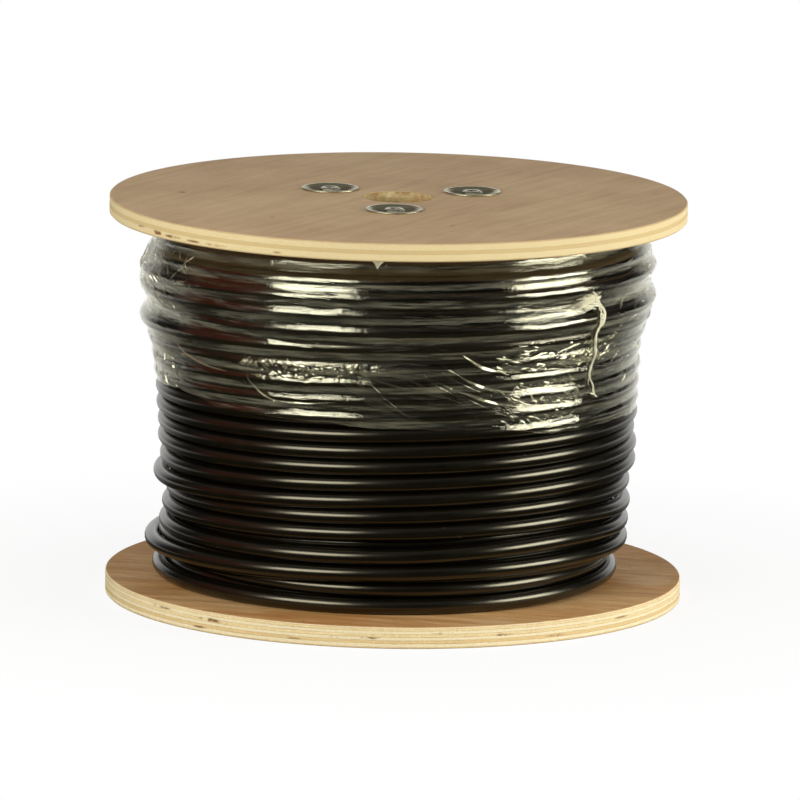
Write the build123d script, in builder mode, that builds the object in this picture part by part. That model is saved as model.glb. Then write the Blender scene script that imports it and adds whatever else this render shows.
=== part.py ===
from build123d import *
import os
from math import cos, radians, sin

# A plywood cable drum standing on its end, wound with black cable and part wrapped in film.
# The frame's origin is on the axis, on the bottom flange's underside, with +Z up the axis.

# Flanges: two sawn plywood discs
flange_diameter = 400.0
top_ply = 12.5
bottom_ply = 15.0
traverse = 251.0  # between the flanges' inner faces
rim_arris = 0.8  # sawn edge, sanded
bore_diameter = 50.0  # spindle hole

# Barrel: wound paper tube, its ends in a groove of each flange
barrel_diameter = 160.0
barrel_wall = 6.0
groove_depth = 3.0
groove_clearance = 0.25  # each side of the tube's wall

# Tie rods through both flanges, inside the barrel
rod_count = 3
rod_circle = 114.0  # diameter of the circle that the rods stand on
first_rod_angle = 27.0
rod_diameter = 8.0
rod_hole_clearance = 0.5  # radial, in the plywood and in the washer
thread_clearance = 0.1  # radial, between the rod and its nut
rod_chamfer = 0.8
rod_end_sink = 1.0  # rod end below the nut's outer face

# Cup washers: pressed steel dishes that let the nuts in flush
washer_diameter = 40.0
washer_sheet = 1.2
washer_lip = 1.6  # flat width of the rim round the dish
cup_floor_diameter = 17.6
seat_clearance = 0.3  # between the dish and the wood
bottom_rim_sink = 0.3  # the lower washers' rims, inside the flange's underside

# Hexagon nuts
nut_across_flats = 13.0
nut_height = 6.5
nut_chamfer = 0.7

# Cable: the outer turns, counted up from the bottom flange. Each band of turns has its count and
# the diameter over it
tight_pitch = 11.2  # turns that lie side by side; the others share out the height that is left
last_gap = 5.6  # between the last turn and the top flange
turn_relief = 4.0  # how far a turn's crest stands over the groove beside it
winding_clearance = 0.3  # between the winding's bore and the barrel
foot_turns = 2
foot_diameter = 317.0
crossing_turns = 1  # loose turn that crosses over the ones under it
crossing_diameter = 332.0
low_turns = 3
low_diameter = 325.0
middle_turns = 5
middle_diameter = 331.0
wrapped_turns = 4  # the first turns under the film
wrapped_diameter = 336.0
swollen_turns = 5  # pushed out by the turns that lie under them
swell = 8.0  # how far they stand out from the wrapped turns below them
last_turns = 1
last_drop = 7.5  # how far the last turn lies in from the swollen ones

# Film: stretched skin over the upper turns, up to the top flange
film_build = 0.6  # several layers together
film_slack = 0.3  # between the film and the turns under it
film_gap = 0.3  # between the film and the top flange
film_relief = 1.8  # how far the film dips between two turns

# Worked out from these
flange_radius = flange_diameter / 2
top_inner_face = bottom_ply + traverse
overall_height = top_inner_face + top_ply
rod_radius = rod_diameter / 2
dish_depth = nut_height  # rim's outer face to the dish's floor, so that the nut ends flush
lip_radius = washer_diameter / 2 - washer_lip
cup_floor_radius = cup_floor_diameter / 2
tight_turns = foot_turns + crossing_turns + swollen_turns + last_turns
slack_turns = low_turns + middle_turns + wrapped_turns  # laid a little apart
slack_pitch = (traverse - last_gap - tight_turns * tight_pitch) / slack_turns
slack_foot = bottom_ply + (foot_turns + crossing_turns) * tight_pitch
film_edge = slack_foot + (low_turns + middle_turns) * slack_pitch
swell_foot = film_edge + wrapped_turns * slack_pitch
swell_head = swell_foot + swollen_turns * tight_pitch
swollen_diameter = wrapped_diameter + 2 * swell
last_diameter = swollen_diameter - 2 * last_drop
winding_bore_radius = barrel_diameter / 2 + winding_clearance

# Each fixing: its number, its angle, and its place on the rod circle
fixings = [
    (number + 1, first_rod_angle + number * 360.0 / rod_count)
    for number in range(rod_count)
]
# Each end: its name, which way is outwards, and the height of the washer rim's outer face
ends = [
    ("top", 1, overall_height + washer_sheet),
    ("bottom", -1, bottom_rim_sink),
]

os.makedirs("parts", exist_ok=True)


def finish(part, name):
    part.label = name
    export_step(part, f"parts/{name}.step")


def rod_place(angle):
    """A rod's place in plan."""
    reach = rod_circle / 2
    return reach * cos(radians(angle)), reach * sin(radians(angle))


def fixing_plane(angle, height, outward):
    """Upright plane through a rod's axis, with its Y pointing out of the drum at that end."""
    x, y = rod_place(angle)
    towards = (cos(radians(angle)), sin(radians(angle)), 0)
    across = (outward * sin(radians(angle)), -outward * cos(radians(angle)), 0)
    return Plane(origin=(x, y, height), x_dir=towards, z_dir=across)


def rod_axis(angle):
    x, y = rod_place(angle)
    return Axis((x, y, 0), (0, 0, 1))


# Plywood flanges, each with its spindle hole, a groove for the barrel and the washers' seats

seat_floor_radius = cup_floor_radius + washer_sheet + seat_clearance
seat_mouth_radius = lip_radius - washer_sheet + seat_clearance
seat_depth = dish_depth + seat_clearance


def seat_section(angle, outward, rim_face, wood_face):
    """Half section of one washer's seat, from outside the wood down to its floor."""
    wood = outward * (wood_face - rim_face)
    shelf = min(-washer_sheet, wood)
    mouth = washer_diameter / 2 + seat_clearance
    with BuildSketch(fixing_plane(angle, rim_face, outward)) as section:
        with BuildLine():
            Polyline(
                (0, wood + 1),
                (mouth, wood + 1),
                (mouth, shelf),
                (seat_mouth_radius, shelf),
                (seat_floor_radius, -washer_sheet - seat_depth),
                (0, -washer_sheet - seat_depth),
                close=True,
            )
        make_face()
    return section.sketch


def disc_outline(foot):
    """The round blank with its spindle hole and rod holes."""
    with BuildSketch(Plane.XY.offset(foot)) as outline:
        Circle(flange_radius)
        Circle(bore_diameter / 2, mode=Mode.SUBTRACT)
        with PolarLocations(rod_circle / 2, rod_count, start_angle=first_rod_angle):
            Circle(rod_radius + rod_hole_clearance, mode=Mode.SUBTRACT)
    return outline.sketch


def groove_outline(inner_face):
    """The ring that the barrel's end stands in."""
    with BuildSketch(Plane.XY.offset(inner_face)) as outline:
        Circle(barrel_diameter / 2 + groove_clearance)
        Circle(barrel_diameter / 2 - barrel_wall - groove_clearance, mode=Mode.SUBTRACT)
    return outline.sketch


with BuildPart() as bottom_flange:
    extrude(disc_outline(0), amount=bottom_ply)
    rim = bottom_flange.edges().filter_by(GeomType.CIRCLE).group_by(SortBy.RADIUS)[-1]
    chamfer(rim, rim_arris)
    extrude(groove_outline(bottom_ply), amount=-groove_depth, mode=Mode.SUBTRACT)
    for number, angle in fixings:
        seat = seat_section(angle, -1, bottom_rim_sink, 0)
        revolve(seat, axis=rod_axis(angle), mode=Mode.SUBTRACT)
finish(bottom_flange.part, "bottom_flange")

with BuildPart() as top_flange:
    extrude(disc_outline(top_inner_face), amount=top_ply)
    rim = top_flange.edges().filter_by(GeomType.CIRCLE).group_by(SortBy.RADIUS)[-1]
    chamfer(rim, rim_arris)
    extrude(groove_outline(top_inner_face), amount=groove_depth, mode=Mode.SUBTRACT)
    for number, angle in fixings:
        seat = seat_section(angle, 1, overall_height + washer_sheet, overall_height)
        revolve(seat, axis=rod_axis(angle), mode=Mode.SUBTRACT)
finish(top_flange.part, "top_flange")

# Barrel, standing in both grooves

with BuildPart() as barrel:
    with BuildSketch(Plane.XY.offset(bottom_ply - groove_depth)):
        Circle(barrel_diameter / 2)
        Circle(barrel_diameter / 2 - barrel_wall, mode=Mode.SUBTRACT)
    extrude(amount=traverse + 2 * groove_depth)
finish(barrel.part, "barrel")

# Fixings: a threaded rod, and at each end a cup washer with its nut

rod_foot = bottom_rim_sink + rod_end_sink
rod_head = overall_height + washer_sheet - rod_end_sink

for number, angle in fixings:
    with BuildPart() as tie_rod:
        with BuildSketch(Plane.XY.offset(rod_foot)):
            with Locations(rod_place(angle)):
                Circle(rod_radius)
        extrude(amount=rod_head - rod_foot)
        chamfer(tie_rod.edges().filter_by(GeomType.CIRCLE), rod_chamfer)
    finish(tie_rod.part, f"tie_rod_{number}")

    for end, outward, rim_face in ends:
        with BuildPart() as cup_washer:
            with BuildSketch(fixing_plane(angle, rim_face, outward)):
                with BuildLine():
                    Polyline(
                        (rod_radius + rod_hole_clearance, -dish_depth),
                        (cup_floor_radius, -dish_depth),
                        (lip_radius, 0),
                        (washer_diameter / 2, 0),
                        (washer_diameter / 2, -washer_sheet),
                        (lip_radius - washer_sheet, -washer_sheet),
                        (cup_floor_radius - washer_sheet, -dish_depth - washer_sheet),
                        (rod_radius + rod_hole_clearance, -dish_depth - washer_sheet),
                        close=True,
                    )
                make_face()
            revolve(axis=rod_axis(angle))
        finish(cup_washer.part, f"cup_washer_{end}_{number}")

        with BuildPart() as nut:
            with BuildSketch(Plane.XY.offset(rim_face)):
                with Locations(rod_place(angle)):
                    RegularPolygon(nut_across_flats / 2, 6, major_radius=False)
                    Circle(rod_radius + thread_clearance, mode=Mode.SUBTRACT)
            extrude(amount=-outward * nut_height)
            with BuildSketch(fixing_plane(angle, rim_face, outward)):
                with BuildLine():
                    corner = nut_across_flats / 2 + nut_chamfer * 2
                    Polyline(
                        (0, 0),
                        (nut_across_flats / 2, 0),
                        (corner, -nut_chamfer),
                        (corner, -nut_height),
                        (0, -nut_height),
                        close=True,
                    )
                make_face()
            revolve(axis=rod_axis(angle), mode=Mode.INTERSECT)
        finish(nut.part, f"nut_{end}_{number}")


# Winding: a plain core inside, with every outer turn as a ring of its own


def crests(reach, relief, foot, pitch, turns):
    """Arcs over that many turns, one above the other."""
    for turn in range(turns):
        low = foot + turn * pitch
        ThreePointArc(
            (reach - relief, low), (reach, low + pitch / 2), (reach - relief, low + pitch)
        )


with BuildPart() as cable:
    with BuildSketch(Plane.XZ):
        with BuildLine():
            height = bottom_ply
            last = (winding_bore_radius, height)
            for turns, diameter, pitch in (
                (foot_turns, foot_diameter, tight_pitch),
                (crossing_turns, crossing_diameter, tight_pitch),
                (low_turns, low_diameter, slack_pitch),
                (middle_turns, middle_diameter, slack_pitch),
                (wrapped_turns, wrapped_diameter, slack_pitch),
                (swollen_turns, swollen_diameter, tight_pitch),
                (last_turns, last_diameter, tight_pitch),
            ):
                groove = diameter / 2 - turn_relief
                Line(last, (groove, height))
                crests(diameter / 2, turn_relief, height, pitch, turns)
                height += turns * pitch
                last = (groove, height)
            Polyline(
                last,
                (groove, top_inner_face),
                (winding_bore_radius, top_inner_face),
                (winding_bore_radius, bottom_ply),
            )
        make_face()
    revolve(axis=Axis.Z)
finish(cable.part, "cable")

# Film: it lies over the crests and dips a little between them


def film_line(inset):
    """The film's face up the drum, that far inside its outer face."""
    over = film_slack + film_build - inset
    wrapped = wrapped_diameter / 2 + over
    swollen = swollen_diameter / 2 + over
    shoulder = swell_foot - slack_pitch
    with BuildLine() as outline:
        crests(wrapped, film_relief, film_edge, slack_pitch, wrapped_turns - 1)
        Line((wrapped - film_relief, shoulder), (swollen - film_relief, swell_foot))
        crests(swollen, film_relief, swell_foot, tight_pitch, swollen_turns)
        Line(
            (swollen - film_relief, swell_head),
            (last_diameter / 2 + over, top_inner_face - film_gap),
        )
    return outline.line


with BuildPart() as film_wrap:
    with BuildSketch(Plane.XZ):
        with BuildLine():
            outside = film_line(0)
            inside = film_line(film_build)
            add(outside)
            add(inside)
            Line(outside @ 0, inside @ 0)
            Line(outside @ 1, inside @ 1)
        make_face()
    revolve(axis=Axis.Z)
finish(film_wrap.part, "film_wrap")
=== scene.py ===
from math import cos, pi, radians, sin

import bpy
import numpy as np
from mathutils import Matrix, Vector


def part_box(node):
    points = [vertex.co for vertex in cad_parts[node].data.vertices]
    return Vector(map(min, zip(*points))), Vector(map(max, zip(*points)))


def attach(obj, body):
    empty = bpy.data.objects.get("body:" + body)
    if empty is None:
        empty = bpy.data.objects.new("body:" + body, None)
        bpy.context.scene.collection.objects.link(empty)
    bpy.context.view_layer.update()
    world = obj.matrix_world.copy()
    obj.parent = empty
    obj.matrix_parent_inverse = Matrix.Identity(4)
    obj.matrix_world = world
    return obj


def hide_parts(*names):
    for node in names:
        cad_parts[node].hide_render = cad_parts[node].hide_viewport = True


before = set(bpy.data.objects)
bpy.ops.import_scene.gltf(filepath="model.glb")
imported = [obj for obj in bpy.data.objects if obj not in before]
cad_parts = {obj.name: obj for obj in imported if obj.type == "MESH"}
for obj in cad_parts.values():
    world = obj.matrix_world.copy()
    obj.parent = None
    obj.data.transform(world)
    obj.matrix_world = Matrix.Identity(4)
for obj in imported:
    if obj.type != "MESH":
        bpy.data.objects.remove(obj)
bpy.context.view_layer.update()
MM = 0.001


# Bottom and top flanges: round discs sawn out of birch-faced plywood, with a spindle hole, a
# groove for the barrel and a seat pressed in under each washer. The faces are dry rotary-cut
# veneer, and the sawn rims show every ply, some of them along the grain and some across it.

def add(tree, kind, inputs=None, **settings):
    """A node with its settings, and its inputs given as values or as other nodes' sockets."""
    made = tree.nodes.new(kind)
    for name, value in settings.items():
        setattr(made, name, value)
    for name, value in (inputs or {}).items():
        if isinstance(value, bpy.types.NodeSocket):
            tree.links.new(value, made.inputs[name])
        else:
            made.inputs[name].default_value = value
    return made


def tree_of(*values):
    """The node tree that the sockets among the values are in."""
    return next(value.id_data for value in values if isinstance(value, bpy.types.NodeSocket))


def sums(operation, first, second=0.0, third=0.0, clamp=False):
    return add(tree_of(first, second, third), "ShaderNodeMath", {0: first, 1: second, 2: third},
               operation=operation, use_clamp=clamp).outputs[0]


def times(first, second, plus=0.0, clamp=False):
    return sums("MULTIPLY_ADD", first, second, plus, clamp)


def vectors(operation, first, second=(0.0, 0.0, 0.0)):
    return add(tree_of(first, second), "ShaderNodeVectorMath", {0: first, 1: second},
               operation=operation).outputs


def split(vector):
    return add(vector.id_data, "ShaderNodeSeparateXYZ", {0: vector}).outputs


def combine(x=0.0, y=0.0, z=0.0):
    return add(tree_of(x, y, z), "ShaderNodeCombineXYZ", {0: x, 1: y, 2: z}).outputs[0]


def spread(value, low, high, to_low=0.0, to_high=1.0, smooth=False):
    """A value between low and high, moved to between to_low and to_high."""
    return add(
        value.id_data, "ShaderNodeMapRange",
        {"Value": value, "From Min": low, "From Max": high, "To Min": to_low, "To Max": to_high},
        interpolation_type="SMOOTHSTEP" if smooth else "LINEAR",
    ).outputs[0]


def noise(where, scale, detail, roughness=0.5, distortion=0.0, seed=None):
    """Cloudy values from 0 to 1, others for each seed."""
    inputs = {"Vector": where, "Scale": scale, "Detail": detail, "Roughness": roughness,
              "Distortion": distortion}
    if seed is not None:
        inputs["W"] = seed
    return add(where.id_data, "ShaderNodeTexNoise", inputs,
               noise_dimensions="3D" if seed is None else "4D").outputs[0]


def mix(share, first, second):
    return add(tree_of(share, first, second), "ShaderNodeMix", {0: share, 6: first, 7: second},
               data_type="RGBA", clamp_factor=True).outputs[2]


def layers(colour, *coats):
    """A colour with coats over it, each a share and a colour."""
    for share, coat in coats:
        colour = mix(share, colour, coat)
    return colour


def ramp(value, stops, kind):
    """The colours of the (place, colour) stops, blended or, if the kind is CONSTANT, stepped."""
    made = add(value.id_data, "ShaderNodeValToRGB", {0: value})
    made.color_ramp.interpolation = kind
    points = made.color_ramp.elements
    while len(points) < len(stops):
        points.new(1.0)
    for point, (place, colour) in zip(points, stops):
        point.position, point.color = place, colour
    return made.outputs[0]


def paint(red, green, blue):
    """A screen colour, 0 to 255 each, as the linear colour that a shader takes."""
    return tuple(
        (c / 255 / 12.92 if c <= 10 else ((c / 255 + 0.055) / 1.055) ** 2.4)
        for c in (red, green, blue)
    ) + (1.0,)


def shade(colour, share):
    return tuple(share * c for c in colour[:3]) + (1.0,)


def node_group(kind, name, inputs, outputs):
    """An empty node group, its sockets given as names and kinds."""
    tree = bpy.data.node_groups.new(name, kind)
    for way, sockets in (("INPUT", inputs), ("OUTPUT", outputs)):
        for label, socket in sockets.items():
            tree.interface.new_socket(label, in_out=way, socket_type="NodeSocket" + socket)
    given, out = tree.nodes.new("NodeGroupInput"), tree.nodes.new("NodeGroupOutput")
    return tree, given.outputs, out.inputs


def build_fibre_group():
    """Wood or paper fibre that runs one way: fine streaks, broad figure and short open pores."""
    group, given, out = node_group("ShaderNodeTree", "fibre", {
        "Vector": "Vector", "Angle": "Float", "Length": "Float", "Width": "Float", "Seed": "Float",
    }, {"Streak": "Float", "Figure": "Float", "Pore": "Float"})
    x, y, z = split(add(group, "ShaderNodeVectorRotate", {
        "Vector": given["Vector"], "Angle": given["Angle"],
    }, rotation_type="Z_AXIS").outputs[0])

    def fibres(along, across, detail, roughness, distortion=0.0):
        long = times(given["Length"], along)
        wide = times(given["Width"], across)
        place = combine(*(
            sums("DIVIDE", side, by) for side, by in ((x, long), (y, wide), (z, wide))
        ))
        return noise(place, 1.0, detail, roughness, distortion, given["Seed"])

    group.links.new(fibres(1, 1, 3.0, 0.62, 0.15), out["Streak"])
    group.links.new(fibres(5, 16, 4.0, 0.55, 0.9), out["Figure"])
    pore = spread(fibres(0.16, 0.5, 1.0, 0.4), 0.62, 0.72, smooth=True)
    group.links.new(pore, out["Pore"])
    return group


def build_speck_group():
    """Scattered specks, such as pin knots, grit or dust, with the size and share of them."""
    group, given, out = node_group("ShaderNodeTree", "specks", {
        "Vector": "Vector", "Spacing": "Float", "Size": "Float", "Share": "Float",
    }, {"Mask": "Float"})
    cells = vectors("DIVIDE", given["Vector"], combine(*[given["Spacing"]] * 3))[0]
    dots = add(group, "ShaderNodeTexVoronoi", {"Vector": cells, "Scale": 1.0}).outputs
    pick = add(group, "ShaderNodeSeparateColor", {0: dots["Color"]}).outputs
    size = times(given["Size"], sums("ADD", pick[1], 0.35))
    inside = sums("LESS_THAN", dots["Distance"], size)
    chosen = sums("LESS_THAN", pick[0], given["Share"])
    group.links.new(times(inside, chosen), out["Mask"])
    return group


FIBRE, SPECKS = build_fibre_group(), build_speck_group()


def fibre(where, angle, long, wide, seed):
    """Fibre at that angle, its streaks long by wide mm: the outputs of the fibre group."""
    return add(where.id_data, "ShaderNodeGroup", {
        "Vector": where, "Angle": angle, "Length": long * MM, "Width": wide * MM, "Seed": seed,
    }, node_tree=FIBRE).outputs


def specks(where, spacing, size, share):
    """A mask of specks in cells of that many mm; the size and the share are of a cell."""
    return add(where.id_data, "ShaderNodeGroup", {
        "Vector": where, "Spacing": spacing * MM, "Size": size, "Share": share,
    }, node_tree=SPECKS).outputs["Mask"]


def spots(where, marks):
    """A mask of a few marks, each a centre, its reach along X, Y and Z, and its strength."""
    total = 0.0
    for centre, reach, strength in marks:
        offset = vectors("SUBTRACT", where, centre)[0]
        far = vectors("LENGTH", vectors("DIVIDE", offset, reach)[0])["Value"]
        total = sums("MAXIMUM", spread(far, 0.55, 1.0, strength, 0.0), total)
    return total


def blank_material(name):
    """A material with one Principled shader: it, that shader and the Object coordinates."""
    made = bpy.data.materials.new(name)
    made.use_nodes = True
    tree = made.node_tree
    tree.nodes.clear()
    shader = add(tree, "ShaderNodeBsdfPrincipled")
    end = add(tree, "ShaderNodeOutputMaterial", {"Surface": shader.outputs[0]})
    end.is_active_output = True
    return made, shader, add(tree, "ShaderNodeTexCoord").outputs["Object"]


def dress(shader, colour, roughness, height, strength, deep):
    """Gives a shader its colour, its roughness and a relief that is that many mm deep."""
    bump = add(shader.id_data, "ShaderNodeBump", {
        "Strength": strength, "Distance": deep * MM, "Height": height,
    })
    for name, socket in (
        ("Base Color", colour), ("Roughness", roughness), ("Normal", bump.outputs[0]),
    ):
        shader.id_data.links.new(socket, shader.inputs[name])


def plywood(name, foot, plies, grain_angle, face, face_dark, seed, marks):
    """Plywood as a solid: the height picks the ply, and every second ply's grain is crosswise."""
    made, shader, where = blank_material(name)
    along = fibre(where, -grain_angle, 24, 0.55, seed)
    across = fibre(where, -grain_angle + pi / 2, 16, 0.4, seed + 4.0)
    wobble = noise(where, 90.0, 4.0, 0.65)
    level = split(where)[2]
    height = sums("ADD", level, spread(wobble, 0, 1, -0.5 * MM, 0.5 * MM))
    thickness = sum(depth * MM for depth, colour in plies)
    share = spread(height, foot, foot + thickness)
    colours, crossing, glue_lines, top = [], [], [(0.0, 0.0)], 0.0
    half_line = 0.24 * MM / thickness
    for number, (depth, colour) in enumerate(plies):
        start, crosswise = top / thickness, float(number % 2)
        colours.append((start, colour))
        crossing.append((start, (crosswise, crosswise, crosswise, 1.0)))
        if number:
            glue_lines += [(start - half_line, 0.0), (start, 1.0), (start + half_line, 0.0)]
        top += depth * MM
    glue_lines.append((1.0, 0.0))
    ply = ramp(share, colours, "CONSTANT")
    streak = mix(ramp(share, crossing, "CONSTANT"), along["Streak"], across["Streak"])
    glue = ramp(share, [(place, (v, v, v, 1.0)) for place, v in glue_lines], "LINEAR")
    # The sawn rim: cream plies with brown glue lines, torn fibre and a few open voids, their
    # insides painted dark as shade. The bored hole's wall is scorched and fuzzy
    glue_break = spread(along["Figure"], 0.35, 0.65, 0.1, marks["glue"])
    # Painted shade: inside each open void the rim is coloured dark brown, where shade falls in the
    # recess
    shaded_void = times(spots(where, marks["shaded_voids"]), spread(wobble, 0.42, 0.56), clamp=True)
    radius = vectors("LENGTH", vectors("MULTIPLY", where, (1.0, 1.0, 0.0))[0])["Value"]
    in_hole = sums("LESS_THAN", radius, 27 * MM)
    rim = layers(
        ply,
        (spread(streak, 0.34, 0.66, marks["torn"], 0.0), (0.42, 0.26, 0.10, 1.0)),
        (times(glue, glue_break), (0.33, 0.19, 0.07, 1.0)),
        # The dark of the voids is painted shade
        (shaded_void, (0.19, 0.082, 0.026, 1.0)),
        (times(in_hole, spread(wobble, 0.38, 0.62, 0.0, 0.8)),
         paint(150, 109, 46)),
    )
    # The face: one veneer, with broad figure, fine streaks, open pores, wear and pin knots
    handled = noise(where, 11.0, 5.0, 0.62, seed=seed)
    scratch = fibre(where, -grain_angle + 0.35, 70, 1.3, seed + 9.0)["Streak"]
    scratch = times(spread(scratch, 0.60, 0.72, 0.0, marks["scratches"]), spread(handled, 0.4, 0.6))
    knots = sums("MAXIMUM", spots(where, marks["knots"]), specks(where, 15, 0.045, 0.4))
    veneer = layers(
        face,
        (spread(along["Figure"], 0.36, 0.64), face_dark),
        (spread(along["Streak"], 0.3, 0.7, 0.0, marks["grain"]), shade(face_dark, 0.74)),
        (times(along["Pore"], 0.4), shade(face_dark, 0.45)),
        (spread(handled, 0.42, 0.66, 0.0, 0.22), paint(236, 214, 168)),
        (scratch, paint(244, 230, 200)),
        (times(knots, 0.75), (0.09, 0.035, 0.014, 1.0)),
        (spots(where, marks["pale"]), (0.62, 0.47, 0.28, 1.0)),
    )
    skin = 0.35 * MM
    on_face = sums("ADD", sums("GREATER_THAN", level, foot + thickness - skin),
                   sums("LESS_THAN", level, foot + skin), clamp=True)
    relief = times(shaded_void, -1.5, times(glue, -0.6, streak))
    dress(shader, mix(on_face, rim, veneer),
          spread(streak, 0.3, 0.7, 0.62, 0.78), relief, 0.6, 0.35)
    shader.inputs["Specular IOR Level"].default_value = 0.3
    return made


def rim_marks(*rows):
    """Marks on a rim: the angle, 0 in front and rising to the right, the height, the length and
    the thickness in mm, and the strength."""
    marks = []
    for angle, height, long, tall, strength in rows:
        turn = radians(angle)
        middle = (200 * MM * sin(turn), -200 * MM * cos(turn), height * MM)
        marks.append((middle, (long * MM, 3 * long * MM, tall * MM), strength))
    return marks


def face_marks(*rows):
    """Marks on a face: x, y, the height and the reach in mm, and the strength."""
    return [((x * MM, y * MM, height * MM), (reach * MM, reach * MM, 4 * MM), strength)
            for x, y, height, reach, strength in rows]


def finish_node(name, material):
    """A piece that is drawn as the CAD has it, in this material."""
    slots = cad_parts[name].data.materials
    slots.clear()
    slots.append(material)


CREAM, HONEY, STRAW = paint(247, 236, 202), paint(241, 221, 173), paint(228, 202, 150)
PALE, TAN = paint(216, 200, 157), paint(199, 178, 131)
finish_node("bottom_flange", plywood(
    "bottom_plywood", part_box("bottom_flange")[0].z,
    [(1.2, HONEY), (2.3, CREAM), (2.2, STRAW), (2.2, CREAM), (2.1, HONEY), (2.2, CREAM),
     (1.8, HONEY), (1.0, CREAM)],
    radians(-12), paint(222, 176, 117), paint(172, 119, 63), 2.0, {
        # Open voids, their insides painted dark as shade
        "shaded_voids": rim_marks(
            (-38.5, 9.4, 9.0, 1.6, 1.0), (-41.0, 3.2, 6.0, 1.0, 0.8), (-35.5, 8.6, 6.0, 0.9, 0.9),
            (-10.5, 7.0, 6.0, 1.2, 1.0), (-4.5, 7.2, 9.0, 1.1, 0.9), (-52.0, 11.0, 8.0, 0.9, 0.8),
            (-20.0, 4.0, 8.0, 0.8, 0.7), (10.0, 10.6, 9.0, 0.8, 0.7), (22.5, 8.0, 7.0, 1.1, 0.9),
            (34.0, 4.5, 8.0, 0.9, 0.8), (52.0, 9.5, 7.0, 0.9, 0.7), (140.0, 6.5, 6.0, 0.8, 0.9),
            (-150.0, 9.0, 8.0, 0.8, 0.8),
        ),
        "knots": face_marks((-60, -183, 15, 1.6, 1.0)),
        "pale": face_marks((178, -22, 15, 22, 0.4), (70, -176, 15, 16, 0.3)),
        "torn": 0.55, "glue": 0.95, "grain": 0.9, "scratches": 0.8,
    },
))
finish_node("top_flange", plywood(
    "top_plywood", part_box("top_flange")[0].z,
    [(0.9, TAN), (4.2, PALE), (2.7, TAN), (3.9, PALE), (0.8, TAN)],
    radians(60), paint(203, 171, 133), paint(189, 156, 119), 7.0, {
        # Open voids, their insides painted dark as shade
        "shaded_voids": rim_marks(
            (-56.0, 269.4, 9.0, 1.7, 1.0), (-50.0, 268.9, 8.0, 1.3, 0.9),
            (-44.0, 268.6, 6.0, 1.1, 0.8), (-38.0, 268.4, 9.0, 1.0, 0.8),
            (-61.0, 270.4, 4.0, 1.2, 0.8), (-24.0, 268.4, 4.0, 0.9, 0.6),
            (95.0, 272.0, 7.0, 1.0, 0.7), (170.0, 269.0, 6.0, 1.0, 0.7),
        ),
        "knots": face_marks(
            (-150, 5, 278.5, 3.2, 0.8), (-86, -96, 278.5, 1.8, 1.0), (37, -120, 278.5, 1.8, 1.0),
        ),
        "pale": [], "torn": 0.3, "glue": 0.3, "grain": 0.3, "scratches": 0.15,
    },
))


# Barrel: the tube that the cable is wound on, spiral-wound from grey-brown board. Its ends sit
# in the flanges' grooves, and only its inside shows, down the spindle hole.

board, shader, where = blank_material("barrel_board")
paper = fibre(where, 0.6, 3, 0.3, 11.0)
board_colour = mix(spread(paper["Streak"], 0.3, 0.7),
                   (0.33, 0.23, 0.13, 1.0), (0.24, 0.16, 0.09, 1.0))
dress(shader, board_colour, spread(paper["Figure"], 0.3, 0.7, 0.8, 0.92), paper["Streak"], 0.4, 0.2)
finish_node("barrel", board)


# Fixings: three zinc-plated M8 studs pull the flanges together over the barrel. Each end has a
# hexagon nut in a pressed cup washer, which lets it in flush with the flange.

ROD_CIRCLE, FIRST_ROD = 114 * MM, radians(27)
TOP_RIM, BOTTOM_RIM = 279.7 * MM, 0.3 * MM


def placed(name, data):
    made = bpy.data.objects.new(name, data)
    bpy.context.scene.collection.objects.link(made)
    return made


def piece(name, points, faces, edges=()):
    mesh = bpy.data.meshes.new(name)
    mesh.from_pydata([tuple(point) for point in points], edges, faces)
    mesh.update()
    return placed(name, mesh)


def belong(made):
    """Every piece rides on the one body."""
    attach(made, "root")


def smooth(made, crease=35):
    made.data.shade_smooth()
    made.data.set_sharp_from_angle(angle=radians(crease))
    return made


def ring_faces(rings, sides, first=0, closed=False, flip=False):
    """Faces that join each ring of points to the next, and the last to the first if closed."""
    faces = []
    for ring in range(rings if closed else rings - 1):
        here, there = first + ring * sides, first + (ring + 1) % rings * sides
        for k in range(sides):
            n = (k + 1) % sides
            face = (here + k, here + n, there + n, there + k)
            faces.append(face[:1] + face[:0:-1] if flip else face)
    return faces


def tube_faces(rings, sides, flip=False):
    """The same with a face over both ends."""
    ends = [tuple(range(sides))[::-1], tuple(range((rings - 1) * sides, rings * sides))]
    return ring_faces(rings, sides, flip=flip) + [end[::-1] if flip else end for end in ends]


def spun(outline, angle):
    """The (radius, height) points of an outline, turned to that angle round the Z axis."""
    return [(r * cos(angle), r * sin(angle), z) for r, z in outline]


def turned(name, outline, segments):
    """A closed outline, anticlockwise, turned the whole way round the Z axis."""
    points = []
    for step in range(segments):
        points += spun(outline, 2 * pi * step / segments)
    return piece(name, points, ring_faces(segments, len(outline), closed=True, flip=True))


def arc(middle_r, middle_z, radius, start, end, count):
    """Points on a round corner of an outline, from one angle in degrees to another."""
    corner = [radians(start + (end - start) * k / count) for k in range(count + 1)]
    return [(middle_r + radius * cos(a), middle_z + radius * sin(a)) for a in corner]


def shape_group(name, inputs):
    """An empty geometry node group with those inputs, a mesh and a finish."""
    return node_group("GeometryNodeTree", name, {
        "Geometry": "Geometry", **inputs, "Finish": "Material",
    }, {"Geometry": "Geometry"})


def send_out(tree, given, out, geometry):
    """Sends the geometry out of its group as real meshes in the given finish."""
    solid = add(tree, "GeometryNodeRealizeInstances", {0: geometry})
    dressed = add(tree, "GeometryNodeSetMaterial", {
        "Geometry": solid.outputs[0], "Material": given["Finish"],
    })
    tree.links.new(dressed.outputs[0], out[0])
    return tree


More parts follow.
